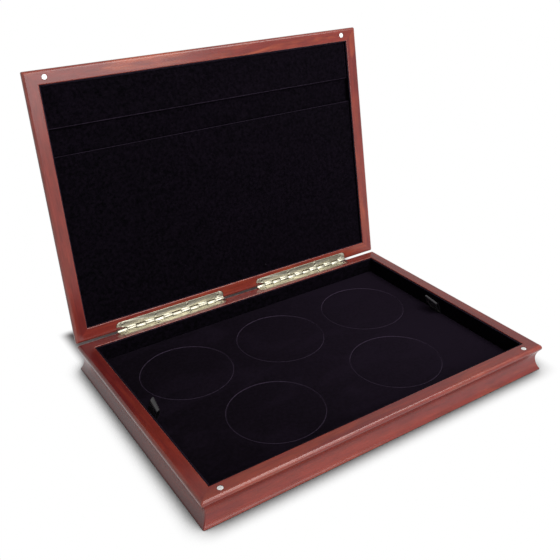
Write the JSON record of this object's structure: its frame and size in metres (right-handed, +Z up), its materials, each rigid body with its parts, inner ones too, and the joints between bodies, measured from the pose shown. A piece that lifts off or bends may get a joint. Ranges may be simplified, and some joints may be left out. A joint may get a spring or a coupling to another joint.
{
  "type": "coin display case",
  "caption": "Shallow wooden case with cove-moulded mitred rails, strip hinges, magnets, a velvet lift-out tray with round coin wells, ribbon pulls and a lid pocket.",
  "frame": {"origin": "middle of the underside of the base", "axes": "+X to the right along the front, +Y towards the hinges at the back, +Z up"},
  "size_m": [0.35, 0.3123, 0.2724],
  "materials": {
    "rail_wood": "satin lacquered red-brown",
    "panel_wood": "satin lacquered red-brown board",
    "lining_velvet": "black velvet",
    "tray_velvet": "black velvet over a board",
    "disc_velvet": "black velvet over card",
    "ribbon_satin": "black satin ribbon",
    "hinge_metal": "nickel-plated, bright",
    "screw_metal": "nickel-plated",
    "magnet_metal": "bright plated"
  },
  "bodies": {
    "base": {"base_front_rail": "rail_wood", "base_back_rail": "rail_wood", "base_left_rail": "rail_wood", "base_right_rail": "rail_wood", "base_bottom_board": "panel_wood", "base_floor_lining": "lining_velvet", "base_front_lining": "lining_velvet", "base_back_lining": "lining_velvet", "base_left_lining": "lining_velvet", "base_right_lining": "lining_velvet", "base_magnets": "magnet_metal", "left_hinge_base_leaf": "hinge_metal", "right_hinge_base_leaf": "hinge_metal", "left_hinge_pin": "hinge_metal", "right_hinge_pin": "hinge_metal", "left_hinge_base_screws": "screw_metal", "right_hinge_base_screws": "screw_metal"},
    "lid": {"lid_front_rail": "rail_wood", "lid_back_rail": "rail_wood", "lid_left_rail": "rail_wood", "lid_right_rail": "rail_wood", "lid_top_panel": "panel_wood", "lid_backing_board": "lining_velvet", "lid_front_lining": "lining_velvet", "lid_back_lining": "lining_velvet", "lid_left_lining": "lining_velvet", "lid_right_lining": "lining_velvet", "lid_padded_strip": "lining_velvet", "lid_pocket_front": "lining_velvet", "lid_pocket_spacers": "lining_velvet", "lid_magnets": "magnet_metal", "left_hinge_lid_leaf": "hinge_metal", "right_hinge_lid_leaf": "hinge_metal", "left_hinge_lid_screws": "screw_metal", "right_hinge_lid_screws": "screw_metal"},
    "tray": {"tray_board": "tray_velvet", "tray_pad": "tray_velvet", "left_pull_ribbon": "ribbon_satin", "right_pull_ribbon": "ribbon_satin"},
    "back_left_disc": {"back_left_disc": "disc_velvet"},
    "back_middle_disc": {"back_middle_disc": "disc_velvet"},
    "back_right_disc": {"back_right_disc": "disc_velvet"},
    "front_left_disc": {"front_left_disc": "disc_velvet"},
    "front_right_disc": {"front_right_disc": "disc_velvet"}
  },
  "joints": [
    {"name": "lid_hinge", "type": "hinge", "parent": "base", "child": "lid", "pos_m": [0, 0.125, 0.0257], "axis": [-1, 0, 0], "range_deg": [-98.7, 0]},
    {"name": "tray_lift", "type": "slide", "parent": "base", "child": "tray", "axis": [0, 0, 1], "range_m": [0, 0.06]},
    {"name": "back_left_disc_lift", "type": "slide", "parent": "tray", "child": "back_left_disc", "axis": [0, 0, 1], "range_m": [0, 0.03]},
    {"name": "back_middle_disc_lift", "type": "slide", "parent": "tray", "child": "back_middle_disc", "axis": [0, 0, 1], "range_m": [0, 0.03]},
    {"name": "back_right_disc_lift", "type": "slide", "parent": "tray", "child": "back_right_disc", "axis": [0, 0, 1], "range_m": [0, 0.03]},
    {"name": "front_left_disc_lift", "type": "slide", "parent": "tray", "child": "front_left_disc", "axis": [0, 0, 1], "range_m": [0, 0.03]},
    {"name": "front_right_disc_lift", "type": "slide", "parent": "tray", "child": "front_right_disc", "axis": [0, 0, 1], "range_m": [0, 0.03]}
  ]
}
